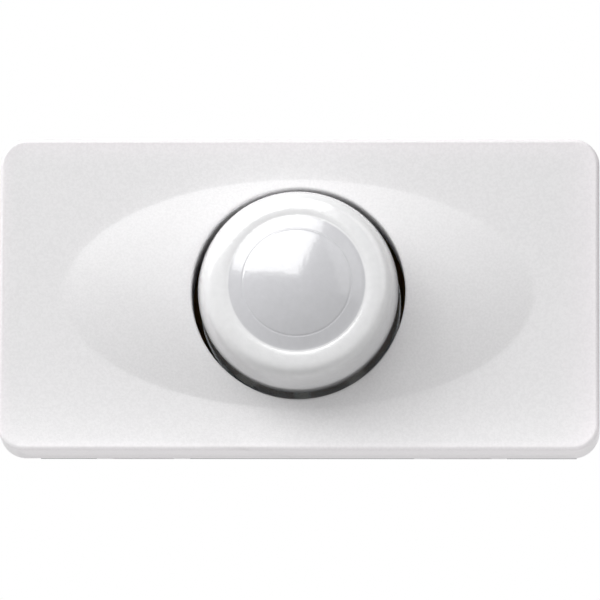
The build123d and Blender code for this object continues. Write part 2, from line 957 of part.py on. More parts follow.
def two_leads(x, z, pitch):
    """A pair of round leads in the board's holes, with their roots in the component."""
    tip = board_front + lead_inset
    first = rod(lead_radius, tip, board_back + lead_stub, x - pitch / 2, z)
    return first + rod(lead_radius, tip, board_back + lead_stub, x + pitch / 2, z)


def boxed_capacitor(x, z, width, height, thickness, pitch):
    """A capacitor in a moulded box that stands on the board."""
    body = block(
        x - width / 2,
        x + width / 2,
        board_back,
        board_back + height,
        z - thickness / 2,
        z + thickness / 2,
    )
    body = fillet(body.edges().filter_by(Axis.Y), thickness / 10)
    return body + two_leads(x, z, pitch)


def make_fuse():
    """The round fuse that stands on the board."""
    body = rod(fuse_radius, board_back, board_back + fuse_height, fuse_x, fuse_z)
    body = fillet(body.edges().group_by(Axis.Y)[-1], fuse_radius / 6)
    return body + two_leads(fuse_x, fuse_z, fuse_pitch)


def axial_component(x, z, radius, waist, length, pitch):
    """A wired body that lies on the board, with both ends bent through it."""
    y = board_back + radius
    bulb = length / 4
    body = cross_rod(waist, x - length / 2, x + length / 2, y, z)
    body += cross_rod(radius, x - length / 2, x - length / 2 + bulb, y, z)
    body += cross_rod(radius, x + length / 2 - bulb, x + length / 2, y, z)
    body += cross_rod(lead_radius, x - pitch / 2, x + pitch / 2, y, z)
    tip = board_front + lead_inset
    for side in (-1, 1):
        leg_x = x + side * pitch / 2
        body += rod(lead_radius, tip, y, leg_x, z) + Pos(leg_x, y, z) * Sphere(lead_radius)
    return body


def save(name, piece):
    """Write one node."""
    solids = piece.solids()
    whole = solids[0] if len(solids) == 1 else Compound(list(solids))
    whole.label = name
    export_step(whole, f"parts/{name}.step")


def main():
    os.makedirs("parts", exist_ok=True)
    save("front_cover", make_front_cover())
    save("rear_housing", make_rear_housing())
    save("rear_plate", make_rear_plate())
    save("knob", make_knob())
    save("shaft", make_shaft())
    save("shaft_clip", make_shaft_clip())
    save("pot_bushing", make_bushing())
    save("pot_can", make_can())
    save("pot_rotor", make_rotor())
    save("pot_wiper", make_wiper())
    save("carbon_track", make_track())
    save("pot_wafer", make_wafer())
    save("pot_tags", make_pot_tags())
    save("circuit_board", make_board())
    for name, piece in (
        ("terminal_cage", make_cage()),
        ("clamp_plate", make_clamp()),
        ("terminal_screw", make_screw()),
    ):
        save(name + "_right", piece)
        save(name + "_left", mirror(piece, Plane.YZ))
    save("heat_sink", make_heat_sink())
    save("insulating_pad", make_pad())
    save("triac_body", make_triac())
    save("triac_leads", make_triac_leads())
    save("triac_screw", make_triac_screw())
    save("choke_core", make_choke_core())
    save("choke_winding", make_choke_winding())
    save("film_capacitor", boxed_capacitor(
        0, film_cap_z, film_cap_width, film_cap_height, film_cap_thickness, film_cap_pitch))
    save("timing_capacitor", boxed_capacitor(
        timing_cap_x, timing_cap_z, timing_cap_width, timing_cap_height,
        timing_cap_thickness, timing_cap_pitch))
    save("fuse", make_fuse())
    save("charge_resistor", axial_component(
        resistor_x, charge_resistor_z, resistor_radius, resistor_waist,
        resistor_length, resistor_pitch))
    save("snubber_resistor", axial_component(
        resistor_x, snubber_resistor_z, resistor_radius, resistor_waist,
        resistor_length, resistor_pitch))
    save("trigger_diac", axial_component(
        diac_x, diac_z, diac_radius, diac_radius, diac_length, diac_pitch))


main()
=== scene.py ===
from math import cos, pi, radians, sin

import bmesh
import bpy
import numpy as np
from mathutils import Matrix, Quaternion, Vector


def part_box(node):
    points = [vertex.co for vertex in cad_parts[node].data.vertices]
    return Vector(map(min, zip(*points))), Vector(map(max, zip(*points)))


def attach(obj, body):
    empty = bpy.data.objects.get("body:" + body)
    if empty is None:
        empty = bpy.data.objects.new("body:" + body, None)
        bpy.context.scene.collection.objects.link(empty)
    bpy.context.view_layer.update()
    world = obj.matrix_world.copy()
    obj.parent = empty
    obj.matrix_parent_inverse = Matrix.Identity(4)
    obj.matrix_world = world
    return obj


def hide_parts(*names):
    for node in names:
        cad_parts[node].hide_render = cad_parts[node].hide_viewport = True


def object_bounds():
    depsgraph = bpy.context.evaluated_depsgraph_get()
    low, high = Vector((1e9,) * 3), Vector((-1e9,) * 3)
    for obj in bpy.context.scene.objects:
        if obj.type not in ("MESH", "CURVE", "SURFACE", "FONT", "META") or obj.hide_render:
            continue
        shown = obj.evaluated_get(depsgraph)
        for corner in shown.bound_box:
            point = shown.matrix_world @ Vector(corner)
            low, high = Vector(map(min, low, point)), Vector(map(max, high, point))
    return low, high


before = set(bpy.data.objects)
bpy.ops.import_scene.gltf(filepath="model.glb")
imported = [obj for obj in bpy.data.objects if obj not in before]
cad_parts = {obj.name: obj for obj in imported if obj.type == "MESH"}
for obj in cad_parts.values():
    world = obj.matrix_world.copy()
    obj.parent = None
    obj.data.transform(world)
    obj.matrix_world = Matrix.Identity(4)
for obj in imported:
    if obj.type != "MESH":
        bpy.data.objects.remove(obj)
cad_box = [list(corner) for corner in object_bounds()]

bl_info = {
    "name": "Rotary dimmer module",
    "version": (1, 0, 0),
    "blender": (4, 5, 0),
    "location": "3D View > Sidebar > Dimmer",
    "description": "Dresses a one-module rotary dimmer: cap, knob, housing and inner parts",
    "category": "Object",
}

MM = 0.001
SMALL_BEVEL = 0.1 * MM
SIDE_STEPS = (110, 56, 20)  # points along the cap's long side, short side and corner
HOLE_ROWS, OVAL_ROWS, FACE_ROWS, EDGE_ROWS = 5, 15, 17, 9  # rows from the hole to the side
DOME_ROWS, LINE_ROWS, RING_ROWS, SHOULDER_ROWS = 28, 24, 20, 41  # rows down the knob
FINE_STEPS, BLUR_STEPS = 1201, 60  # points of the knob's exact profile, and half its blur
KNOB_STEPS = 192  # points round the knob
POST_STEPS = 24  # points round a board post
RIBS = 6  # ribs inside the knob
MERGE = 1e-7  # metres under which two points are one
FLOOR_GAP = 0.02 * MM
SENSOR = 36.0  # millimetres
cap_low, cap_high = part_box("front_cover")
knob_low, knob_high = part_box("knob")
housing_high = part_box("rear_housing")[1]


def length(name, description, millimetres):
    """A size in metres, with its default given in millimetres."""
    return bpy.props.FloatProperty(
        name=name,
        description=description,
        default=millimetres * MM,
        unit="LENGTH",
        subtype="DISTANCE",
        precision=6,
    )


def linear(hex_colour):
    """An sRGB hex colour as linear red, green, blue and alpha."""
    values = np.array([int(hex_colour[i:i + 2], 16) / 255 for i in (1, 3, 5)])
    low = values / 12.92
    high = ((values + 0.055) / 1.055) ** 2.4
    return (*np.where(values <= 0.04045, low, high).tolist(), 1.0)


def colour(name, description, hex_colour):
    """A colour with its default given in sRGB hex."""
    return bpy.props.FloatVectorProperty(
        name=name,
        description=description,
        default=linear(hex_colour)[:3],
        subtype="COLOR",
        size=3,
        min=0.0,
        max=1.0,
    )


def factor(name, description, value):
    """A plain number from 0 to 1."""
    return bpy.props.FloatProperty(
        name=name, description=description, default=value, min=0.0, max=1.0, subtype="FACTOR"
    )


def turn(name, description, degrees):
    """An angle in radians, with its default given in degrees."""
    return bpy.props.FloatProperty(
        name=name, description=description, default=radians(degrees), subtype="ANGLE"
    )


def power(name, description, watts):
    """A lamp's power in watts."""
    return bpy.props.FloatProperty(name=name, description=description, default=watts, min=0.0)


class CapSettings(bpy.types.PropertyGroup):
    """Sizes and looks of the cap that faces the room."""

    face_depth: length("Face depth", "From the seating plane to the flat of the face", 4.0)
    corner: length("Corner radius", "Plan radius of the four corners", 2.0)
    edge_round: length("Edge rounding", "Radius between the face and the side walls", 0.35)
    side_wall: length("Side wall", "Thickness of the side walls", 1.5)
    face_wall: length("Face wall", "Thickness behind the flat of the face", 1.8)
    swell_width: length("Swelling width", "Long axis of the oval swelling", 35.2)
    swell_height: length("Swelling height", "Short axis of the oval swelling", 17.4)
    swell_rise: length("Swelling rise", "How far the oval stands out of the face", 1.2)
    crease: length("Crease softness", "Width over which the oval runs into the face", 0.05)
    hole_radius: length("Hole radius", "Radius of the hole round the knob", 8.0)
    hole_round: length("Hole rounding", "Radius of the hole's front edge", 0.15)
    collar_wall: length("Collar wall", "Thickness of the collar behind the face", 0.8)
    collar_back: length("Collar end", "Where the collar ends, behind the seating plane", -0.6)
    tab_place: length("Tab place", "From the middle to each snap tab, along the cap", 12.0)
    tab_width: length("Tab width", "Width of a snap tab", 7.0)
    tab_wall: length("Tab wall", "Thickness of a snap tab", 1.0)
    tab_inset: length("Tab inset", "From the housing's outside in to a tab's inner face", 0.7)
    tab_front: length("Tab front", "Where a tab starts, inside the cap", -1.9)
    tab_back: length("Tab back", "Where a tab ends, behind the seating plane", 6.2)
    catch_width: length("Catch width", "Width of the window in a tab", 4.6)
    catch_front: length("Catch front", "Where the window starts", 2.6)
    catch_back: length("Catch back", "Where the window ends", 4.7)
    post_place: length("Post place", "From the middle to each board post, along the cap", 17.2)
    post_inset: length("Post inset", "From the housing's outside in to a post's axis", 4.5)
    post_radius: length("Post radius", "Radius of a board post", 1.3)
    post_front: length("Post front", "Where a post starts, inside the face wall", -2.4)
    post_back: length("Post back", "Where a post ends, on the circuit board", 7.6)
    post_bevel: length("Post bevel", "Chamfer of a post's end", 0.2)
    # The border bands are smoother, and painted brighter and pinker: painted light along the
    # edges, widest on the right.
    border_top: length("Top border", "Width of the smooth band along the top edge", 2.4)
    border_bottom: length("Bottom border", "Width of the smooth band along the bottom edge", 0.8)
    border_left: length("Left border", "Width of the smooth band along the left edge", 1.2)
    border_right: length("Right border", "Width of the smooth band along the right edge", 4.2)
    grain: length("Grain", "Width of one pit of the spark-eroded grain", 0.1)
    tone: colour("Cap colour", "Colour of the cap's plastic", "#E7E6E7")
    gloss: factor("Cap roughness", "Roughness of the eroded face", 0.42)


class KnobSettings(bpy.types.PropertyGroup):
    """Sizes and looks of the turning knob."""

    shoulder_width: length("Shoulder width", "Radial width of the rounded shoulder", 2.2)
    shoulder_rise: length("Shoulder rise", "Depth of the rounded shoulder", 3.35)
    shoulder_power: bpy.props.FloatProperty(
        name="Shoulder power",
        description="2 is an ellipse, more is squarer",
        default=6.0,
        min=2.0,
    )
    crown_fall: length("Crown fall", "How far the ring falls outwards to the round", 0.13)
    flank_width: length("Flank width", "How far the flank slants out", 0.57)
    ring_width: length("Ring width", "From the shoulder's crest in to the valley", 0.2)
    ring_fall: length("Ring fall", "How far the ring falls to the valley", 0.03)
    step_width: length("Step width", "From the valley in to the dome", 1.05)
    step_rise: length("Step rise", "How far the step rises to the dome", 0.3)
    dome_rise: length("Dome rise", "How far the dome stands over the step", 0.7)
    crease: length("Crease softness", "Radius of the softened creases", 0.14)
    line_width: length("Line width", "Width of the fine line round the dome", 0.2)
    line_depth: length("Line depth", "Depth of the fine line round the dome", 0.03)
    wall: length("Wall", "Thickness of skirt and roof", 1.3)
    hub_radius: length("Hub radius", "Outer radius of the hub", 4.5)
    bore_radius: length("Bore radius", "Radius of the hub's bore", 3.02)
    bore_flat: length("Bore flat", "Distance from the axis to the bore's flat", 1.52)
    lip: length("Lip rounding", "Radius of the skirt's back edge", 0.2)
    rib: length("Rib", "Thickness of the six inner ribs", 0.9)
    tone: colour("Knob colour", "Colour of the knob's plastic", "#ECECED")
    disc_tone: colour("Disc colour", "Colour of the disc in the middle of the knob", "#C9C9CD")
    gloss: factor("Knob roughness", "Roughness of the plastic under the lacquer", 0.24)
    lacquer: factor("Lacquer roughness", "Roughness of the clear lacquer", 0.12)


class StageSettings(bpy.types.PropertyGroup):
    """Camera and lights."""

    azimuth: turn("Azimuth", "Camera's turn from straight in front", 2.0)
    elevation: turn("Elevation", "Camera's height angle", -10.5)
    roll: turn("Roll", "Camera's turn about its line of sight", 0.36)
    distance: length("Camera distance", "From the camera to the cap", 600.0)
    view_width: length("View width", "Width that the picture shows at the cap", 45.2)
    aim_x: length("Aim X", "Where the camera points, along the cap", -0.04)
    aim_z: length("Aim Z", "Where the camera points, up the cap", 0.27)
    floor_size: length("Floor size", "How far the floor reaches to each side", 3000.0)
    floor_tone: colour("Floor colour", "Colour of the pale floor", "#F4F4F4")
    # The floor's bounce is painted light: it glows with these strengths whatever falls on it.
    bounce_front: factor("Bounce in front", "Light that the floor gives back before the face", 0.3)
    bounce_back: factor("Bounce behind", "Light that the floor gives back under the cap", 0.8)
    near_floor: length("Near floor", "How far before the face the brighter bounce reaches", 9.0)
    lighting: factor("Surroundings", "Strength of the plain light from all round", 0.32)
    lamp_distance: length("Lamp distance", "From the module to each softbox", 600.0)
    window_watts: power("Window power", "Power of the large softbox", 3.3)
    key_watts: power("Key power", "Power of the small softbox", 1.2)
    fill_watts: power("Fill power", "Power of the softbox on the right", 0.4)


def settings(kind):
    """The scene's values for the cap, the knob or the stage."""
    return getattr(bpy.context.scene, "dimmer_" + kind)


# Meshes


def quads(rows, columns, close_rows=True, close_columns=True):
    """Corner numbers of a grid's faces, wrapped where the grid closes on itself."""
    row = np.arange(rows if close_rows else rows - 1)[:, None]
    column = np.arange(columns if close_columns else columns - 1)[None, :]
    next_row = (row + 1) % rows
    next_column = (column + 1) % columns
    corners = [
        row * columns + column,
        row * columns + next_column,
        next_row * columns + next_column,
        next_row * columns + column,
    ]
    return np.stack([np.broadcast_to(c, corners[0].shape) for c in corners], -1).reshape(-1, 4)


def make_piece(name, grids, material, body, slot, sharp=35.0, **attributes):
    """One object from closed grids of points; each grid's rows and columns both wrap."""
    points = []
    faces = []
    start = 0
    for grid in grids:
        rows, columns = grid.shape[:2]
        faces.append(quads(rows, columns) + start)
        points.append(grid.reshape(-1, 3))
        start += rows * columns
    mesh = bpy.data.meshes.new(name)
    mesh.from_pydata(np.concatenate(points).tolist(), [], np.concatenate(faces).tolist())
    for key, values in attributes.items():
        layer = mesh.attributes.new(key, "FLOAT", "POINT")
        layer.data.foreach_set("value", values.astype(np.float32).ravel())
    work = bmesh.new()
    work.from_mesh(mesh)
    bmesh.ops.remove_doubles(work, verts=work.verts, dist=MERGE)
    bmesh.ops.recalc_face_normals(work, faces=work.faces)
    work.to_mesh(mesh)
    work.free()
    mesh.shade_smooth()
    mesh.set_sharp_from_angle(angle=radians(sharp))
    mesh.materials.append(material)
    piece = bpy.data.objects.new(name, mesh)
    bpy.context.scene.collection.objects.link(piece)
    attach(piece, body)
    return piece


def rounded_outline(half_width, half_height, corner, long_steps, short_steps, corner_steps):
    """A rounded rectangle: four straights and four quarter circles, as points and normals."""
    x, z, nx, nz = [], [], [], []
    inner_x = half_width - corner
    inner_z = half_height - corner
    quarter = np.linspace(0, pi / 2, corner_steps, endpoint=False)
    for turn in range(4):
        along = (long_steps if turn % 2 else short_steps)
        reach = (inner_x, inner_z)[(turn + 1) % 2]
        out = (half_width, half_height)[turn % 2]
        slide = np.linspace(-reach, reach, along, endpoint=False)
        side_x, side_z = np.full(along, out), slide
        arc_x = (inner_x, inner_z)[turn % 2] + corner * np.cos(quarter)
        arc_z = reach + corner * np.sin(quarter)
        px = np.concatenate([side_x, arc_x])
        pz = np.concatenate([side_z, arc_z])
        qx = np.concatenate([np.ones(along), np.cos(quarter)])
        qz = np.concatenate([np.zeros(along), np.sin(quarter)])
        c, s = cos(turn * pi / 2), sin(turn * pi / 2)
        x.append(c * px - s * pz)
        z.append(s * px + c * pz)
        nx.append(c * qx - s * qz)
        nz.append(s * qx + c * qz)
    return [np.concatenate(part) for part in (x, z, nx, nz)]


def box_grid(low, high, bevel):
    """A block as rounded-rectangle rings stacked along Y, closed at both ends."""
    low, high = np.array(low), np.array(high)
    centre = (low + high) / 2
    half = (high - low) / 2
    px, pz, nx, nz = rounded_outline(half[0], half[2], bevel * 1.5, 3, 3, 4)
    rings = []
    for y, inset in (
        (low[1], None), (low[1], bevel), (low[1] + bevel, 0.0),
        (high[1] - bevel, 0.0), (high[1], bevel), (high[1], None),
    ):
        if inset is None:
            rings.append(np.stack([px * 0.0, np.full_like(px, y), pz * 0.0], -1))
        else:
            rings.append(np.stack([px - nx * inset, np.full_like(px, y), pz - nz * inset], -1))
    grid = np.stack(rings)
    grid[..., 0] += centre[0]
    grid[..., 2] += centre[2]
    return grid


def window_grid(low, high, inner_low, inner_high, bevel):
    """A plate in X and Y with a window: a loop of sections carried round the frame."""
    low, high = np.array(low), np.array(high)
    inner_low, inner_high = np.array(inner_low), np.array(inner_high)

    def loop(a, b, radius, shrink, z):
        half = (b - a) / 2
        middle = (a + b) / 2
        px, py, nx, ny = rounded_outline(half[0], half[1], radius, 3, 3, 4)
        x = px - nx * shrink + middle[0]
        y = py - ny * shrink + middle[1]
        return np.stack([x, y, np.full_like(px, z)], -1)

    z0, z1 = low[2], high[2]
    radius = 2 * bevel
    return np.stack([
        loop(low, high, radius, 0, z0 + bevel),
        loop(low, high, radius, 0, z1 - bevel),
        loop(low, high, radius, bevel, z1),
        loop(inner_low, inner_high, radius, -bevel, z1),
        loop(inner_low, inner_high, radius, 0, z1 - bevel),
        loop(inner_low, inner_high, radius, 0, z0 + bevel),
        loop(inner_low, inner_high, radius, -bevel, z0),
        loop(low, high, radius, bevel, z0),
    ])


def turned_grid(radius, y, steps, centre=(0.0, 0.0)):
    """A profile of radius against y carried round the Y axis; radius may vary by angle."""
    angle = np.linspace(0, 2 * pi, steps, endpoint=False)
    radius = np.asarray(radius)
    if radius.ndim == 1:
        radius = np.repeat(radius[:, None], steps, 1)
    x = radius * np.cos(angle) + centre[0]
    z = radius * np.sin(angle) + centre[1]
    return np.stack([x, np.repeat(np.asarray(y)[:, None], steps, 1), z], -1)


def swell_height_at(x, z, cap):
    """Height of the oval swelling: a sphere's cap stretched along X, run softly into zero."""
    half = cap.swell_height / 2
    stretch = cap.swell_width / cap.swell_height
    sphere = (half ** 2 + cap.swell_rise ** 2) / (2 * cap.swell_rise)
    rho = (x / stretch) ** 2 + z ** 2
    rise = np.sqrt(sphere ** 2 - rho) - (sphere - cap.swell_rise)
    soft = cap.crease / 2
    return (rise + np.sqrt(rise ** 2 + soft ** 2)) / 2 - soft / 2


def cap_grid(cap):
    """The cap as one closed sheet: each column runs from the knob hole out over the face,
    round the edge, down the side, back along the inside and up the collar to the hole."""
    half_x = (cap_high[0] - cap_low[0]) / 2
    half_z = (cap_high[2] - cap_low[2]) / 2
    px, pz, nx, nz = rounded_outline(half_x, half_z, cap.corner, *SIDE_STEPS)
    angle = np.arctan2(pz, px)
    flat = -cap.face_depth
    inside = flat + cap.face_wall
    rows_x, rows_y, rows_z = [], [], []

    def add(x, y, z):
        rows_x.append(x)
        rows_y.append(np.broadcast_to(y, x.shape))
        rows_z.append(z)

    def on_face(x, z):
        add(x, flat - swell_height_at(x, z, cap), z)

    # Front edge of the hole, rounded into the face
    lip_radius = cap.hole_radius + cap.hole_round
    lip_x, lip_z = lip_radius * np.cos(angle), lip_radius * np.sin(angle)
    lip_y = flat - swell_height_at(lip_x, lip_z, cap)
    for turn in np.linspace(0, pi / 2, HOLE_ROWS)[:-1]:
        radius = lip_radius - cap.hole_round * cos(turn)
        y = lip_y + cap.hole_round * (1 - sin(turn))
        add(radius * np.cos(angle), y, radius * np.sin(angle))

    # Over the oval, then over the flat out to where the edge rounding starts
    oval = 1 / np.sqrt(
        (2 * np.cos(angle) / cap.swell_width) ** 2 + (2 * np.sin(angle) / cap.swell_height) ** 2
    )
    edge_x = px - nx * cap.edge_round
    edge_z = pz - nz * cap.edge_round
    oval_x, oval_z = oval * np.cos(angle), oval * np.sin(angle)
    for share in 1 - (1 - np.linspace(0, 1, OVAL_ROWS)) ** 1.6:  # closer near the crease
        on_face(lip_x + (oval_x - lip_x) * share, lip_z + (oval_z - lip_z) * share)
    for share in np.linspace(0, 1, FACE_ROWS)[1:] ** 1.7:
        on_face(oval_x + (edge_x - oval_x) * share, oval_z + (edge_z - oval_z) * share)

    # Rounded front edge, side wall and the rim's back
    for turn in np.linspace(0, pi / 2, EDGE_ROWS)[1:]:
        inset = cap.edge_round * (1 - sin(turn))
        y = flat + cap.edge_round * (1 - cos(turn))
        add(px - nx * inset, y, pz - nz * inset)
    back_round = cap.hole_round
    for y, inset in (
        (-back_round, 0.0), (-back_round / 3, back_round / 3), (0.0, back_round),
        (0.0, cap.side_wall), (inside, cap.side_wall),
    ):
        add(px - nx * inset, y, pz - nz * inset)

    # Back of the face and the collar
    hole = cap.hole_radius
    collar = hole + cap.collar_wall
    for radius, y in ((collar, inside), (collar, cap.collar_back), (hole, cap.collar_back)):
        add(radius * np.cos(angle), y, radius * np.sin(angle))
    return np.stack([np.stack(rows_x), np.stack(rows_y), np.stack(rows_z)], -1)


def border_share(grid, cap):
    """1 along the outline and on the sides, falling smoothly to 0 over each edge's band."""
    x, z = grid[..., 0], grid[..., 2]
    gaps = (
        (cap_high[2] - z) / cap.border_top,
        (z - cap_low[2]) / cap.border_bottom,
        (x - cap_low[0]) / cap.border_left,
        (cap_high[0] - x) / cap.border_right,
    )
    return 1 - np.prod([1 - np.clip(1 - gap, 0, 1) ** 2 for gap in gaps], axis=0)


def knob_grids(knob):
    """The knob as one closed sheet turned about Y, and its ribs as blocks. The profile runs
    from the middle of a spherical dome down a straight step to the ring, over the shoulder,
    down the skirt, along the inside and the hub, and into the bore with its flat."""
    skirt = knob_high[0]
    back = knob_high[1]
    crest = skirt - knob.shoulder_width
    valley = crest - knob.ring_width
    dome = valley - knob.step_width
    top = knob_low[1]
    step_y = top + knob.dome_rise
    valley_y = step_y + knob.step_rise
    crest_y = valley_y - knob.ring_fall
    power = knob.shoulder_power

    # Dome, step and ring as one curve, its creases softened by a running mean, and a
    # line of V section cut where the dome meets the step
    fine = np.linspace(-crest, crest, FINE_STEPS)
    reach = np.abs(fine)
    sphere = (dome ** 2 + knob.dome_rise ** 2) / (2 * knob.dome_rise)
    arc = top + sphere - np.sqrt(sphere ** 2 - np.minimum(reach, dome) ** 2)
    ramp = np.interp(reach, [dome, valley, crest], [step_y, valley_y, crest_y])
    curve = np.where(reach < dome, arc, ramp)
    spread = np.arange(-BLUR_STEPS, BLUR_STEPS + 1) * (fine[1] - fine[0])
    weights = np.exp(-0.5 * (spread / knob.crease) ** 2)
    padded = np.pad(curve, BLUR_STEPS, mode="edge")
    soft = np.convolve(padded, weights / weights.sum(), mode="valid")
    soft += knob.line_depth * np.clip(1 - 2 * np.abs(reach - dome) / knob.line_width, 0, 1)
    radius_top = np.concatenate([
        np.linspace(0, dome - 3 * knob.crease, DOME_ROWS),
        np.linspace(dome - 2.6 * knob.crease, dome + 2.6 * knob.crease, LINE_ROWS),
        np.linspace(dome + 3 * knob.crease, crest - knob.crease / 4, RING_ROWS),
    ])
    y_top = np.interp(radius_top, fine, soft)

    # Shoulder: a superelliptical round, out ** power + up ** power = 1, and a flank that
    # slants out evenly to where it rounds into the skirt
    fall = np.linspace(0, 1, SHOULDER_ROWS) ** 2.2
    round_out = (1 - (1 - fall) ** power) ** (1 / power)
    flank_out = (fall - fall ** 8 / 8) / (1 - 1 / 8)
    flank = knob.flank_width
    crown = knob.crown_fall * round_out
    radius_shoulder = crest + (knob.shoulder_width - flank) * round_out + flank * flank_out
    y_shoulder = crest_y + crown + (knob.shoulder_rise - knob.crown_fall) * fall

    inner = skirt - knob.wall
    roof = valley_y + knob.wall
    lip = knob.lip
    hub_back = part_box("shaft_clip")[0][1] - SMALL_BEVEL  # a running gap before the clip
    bore_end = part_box("shaft")[0][1]
    hub = knob.hub_radius
    radius_back = [
        skirt, skirt - lip * 0.3, skirt - lip, inner + lip, inner, inner, inner - lip * 2,
        hub + lip, hub, hub, hub - lip,
    ]
    y_back = [
        back - lip, back - lip * 0.3, back, back, back - lip, roof + knob.shoulder_rise / 2,
        roof, roof, roof + lip, hub_back - lip, hub_back,
    ]
    y_bore = [hub_back, hub_back - lip, bore_end, bore_end]
    radius = np.concatenate([radius_top, radius_shoulder, radius_back])
    y = np.concatenate([y_top, y_shoulder, y_back, y_bore])

    angle = np.linspace(0, 2 * pi, KNOB_STEPS, endpoint=False)
    rise = np.maximum(np.sin(angle), 1e-6)
    bore = np.minimum(knob.bore_radius, knob.bore_flat / rise)
    inner_rows = np.stack([bore + lip, bore, bore, bore * 0])
    full = np.concatenate([np.repeat(radius[:, None], KNOB_STEPS, 1), inner_rows])
    grids = [turned_grid(full, y, KNOB_STEPS)]
    for number in range(RIBS):
        rib = box_grid(
            (knob.hub_radius - knob.rib / 3, roof - knob.wall / 3, -knob.rib / 2),
            (inner + knob.wall / 3, hub_back - lip, knob.rib / 2),
            SMALL_BEVEL,
        )
        c, s = cos(2 * pi * number / RIBS), sin(2 * pi * number / RIBS)
        x, z = rib[..., 0].copy(), rib[..., 2].copy()
        rib[..., 0], rib[..., 2] = c * x - s * z, s * x + c * z
        grids.append(rib)
    return grids


# Materials


def add_node(tree, kind, inputs=None, to=None, **values):
    """Adds a node, sets its own values, sets or links its inputs, and links its first output."""
    node = tree.nodes.new(kind)
    for name, value in values.items():
        setattr(node, name, value)
    for name, value in (inputs or {}).items():
        if isinstance(value, bpy.types.NodeSocket):
            tree.links.new(value, node.inputs[name])
        else:
            node.inputs[name].default_value = value
    if to:
        tree.links.new(node.outputs[0], to)
    return node


def new_material(name, tone, roughness, metallic=0.0, **sockets):
    """A material with one Principled shader; returns the material, its tree and the shader."""
    material = bpy.data.materials.new(name)
    material.use_nodes = True
    tree = material.node_tree
    shader = tree.nodes["Principled BSDF"]
    shader.inputs["Base Color"].default_value = tone
    shader.inputs["Roughness"].default_value = roughness
    shader.inputs["Metallic"].default_value = metallic
    for key, value in sockets.items():
        shader.inputs[key.replace("_", " ")].default_value = value
    return material, tree, shader


def pattern(tree, size, detail=2.0, stretch=(1.0, 1.0, 1.0)):
    """A cloudy pattern with features about size metres wide, on the piece's own place."""
    place = add_node(tree, "ShaderNodeTexCoord").outputs["Object"]
    mapped = add_node(tree, "ShaderNodeMapping", {"Vector": place, "Scale": stretch})
    return add_node(
        tree,
        "ShaderNodeTexNoise",
        {"Vector": mapped.outputs["Vector"], "Scale": 1 / size, "Detail": detail},
    ).outputs["Fac"]


def vary(tree, shader, tone, amount, source):
    """Colour that swings by a share of its brightness with a pattern."""
    low = [c * (1 - amount) for c in tone[:3]] + [1.0]
    high = [min(c * (1 + amount), 1.0) for c in tone[:3]] + [1.0]
    mix = add_node(
        tree, "ShaderNodeMix", {"Factor": source, 6: low, 7: high}, data_type="RGBA"
    )
    tree.links.new(mix.outputs[2], shader.inputs["Base Color"])


def eroded_abs(cap):
    """White ABS moulded in a spark-eroded tool: matte pits in the field, a smooth border.
    The eye sees a fine sparkle on the face. The rim is painted slightly brighter and pinker:
    painted light along the edges, widest on the right; its smoother finish is real. The pits
    are drawn 0.1 mm wide, coarser than the 0.03 mm of such a tool, so that they show."""
    tone = (*cap.tone, 1.0)
    material, tree, shader = new_material("abs_spark_eroded", tone, cap.gloss)
    border = add_node(tree, "ShaderNodeAttribute", attribute_name="border").outputs["Fac"]
    fine = pattern(tree, cap.grain, 3.0)
    broad = pattern(tree, 2.5 * MM, 2.0)
    speck = pattern(tree, cap.grain * 1.7, 1.0)
    # Painted light: the rim is drawn brighter and pinker than the field, most in the wide band on
    # the right.
    rim_light_share = (1.10, 1.07, 1.085)  # how much brighter the rim is in red, green and blue
    lit_rim_tone = [min(c * share, 1.0) for c, share in zip(cap.tone, rim_light_share)] + [1.0]
    banded = add_node(
        tree, "ShaderNodeMix", {"Factor": border, 6: tone, 7: lit_rim_tone}, data_type="RGBA"
    ).outputs[2]
    mottled = add_node(
        tree, "ShaderNodeMapRange", {"Value": broad, "To Min": 0.99, "To Max": 1.01}
    ).outputs["Result"]
    sparkle = add_node(
        tree,
        "ShaderNodeMapRange",
        {"Value": speck, "From Min": 0.35, "From Max": 0.65, "To Min": 0.975, "To Max": 1.025},
    ).outputs["Result"]
    scaled = add_node(tree, "ShaderNodeMath", {0: mottled, 1: sparkle}, operation="MULTIPLY")
    add_node(
        tree,
        "ShaderNodeVectorMath",
        {0: banded, "Scale": scaled.outputs[0]},
        to=shader.inputs["Base Color"],
        operation="SCALE",
    )
    add_node(
        tree,
        "ShaderNodeMapRange",
        {"Value": border, "To Min": cap.gloss, "To Max": cap.gloss * 0.8},
        to=shader.inputs["Roughness"],
    )
    field = add_node(tree, "ShaderNodeMath", {0: 1.0, 1: border}, operation="SUBTRACT")
    height = add_node(tree, "ShaderNodeMath", {0: fine, 1: field.outputs[0]}, operation="MULTIPLY")
    add_node(
        tree,
        "ShaderNodeBump",
        {"Height": height.outputs[0], "Distance": 0.012 * MM, "Strength": 0.8},
        to=shader.inputs["Normal"],
    )
    return material


